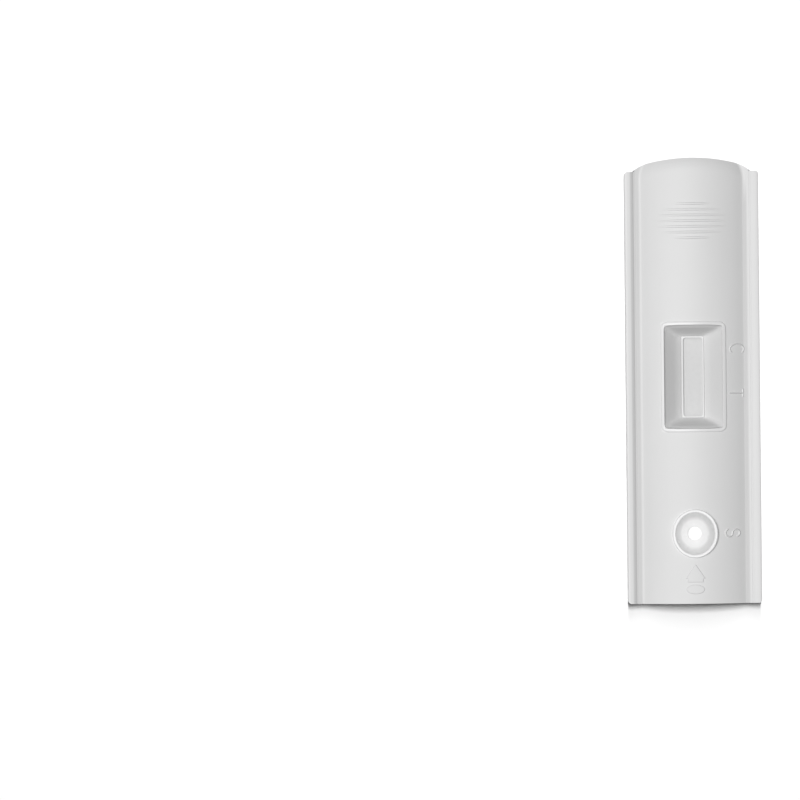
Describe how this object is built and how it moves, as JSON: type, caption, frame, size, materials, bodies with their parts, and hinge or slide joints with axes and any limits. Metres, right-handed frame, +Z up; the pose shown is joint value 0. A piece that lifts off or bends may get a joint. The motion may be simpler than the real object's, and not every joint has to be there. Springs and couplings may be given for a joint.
{
  "type": "pregnancy test cassette",
  "caption": "Flat domed plastic test case with side rails, a dished viewing window over a membrane strip and a small round sample well near its straight end.",
  "frame": {"origin": "middle of the case's outline on the plane that it lies on", "axes": "+Z up out of the domed face, +Y along the case towards its bowed end, +X across it"},
  "size_m": [0.021, 0.07, 0.0058],
  "materials": {
    "shell_plastic": "fine satin, white",
    "card_film": "smooth white film",
    "membrane": "very smooth, matt white",
    "conjugate_fibre": "glass fibre tinted by its dried dye",
    "pad_fibre": "fibrous, white"
  },
  "bodies": {
    "root": {"top_cover": "shell_plastic", "bottom_cover": "shell_plastic", "backing_card": "card_film", "nitrocellulose_membrane": "membrane", "conjugate_pad": "conjugate_fibre", "sample_pad": "pad_fibre", "absorbent_pad": "pad_fibre"}
  },
  "joints": []
}
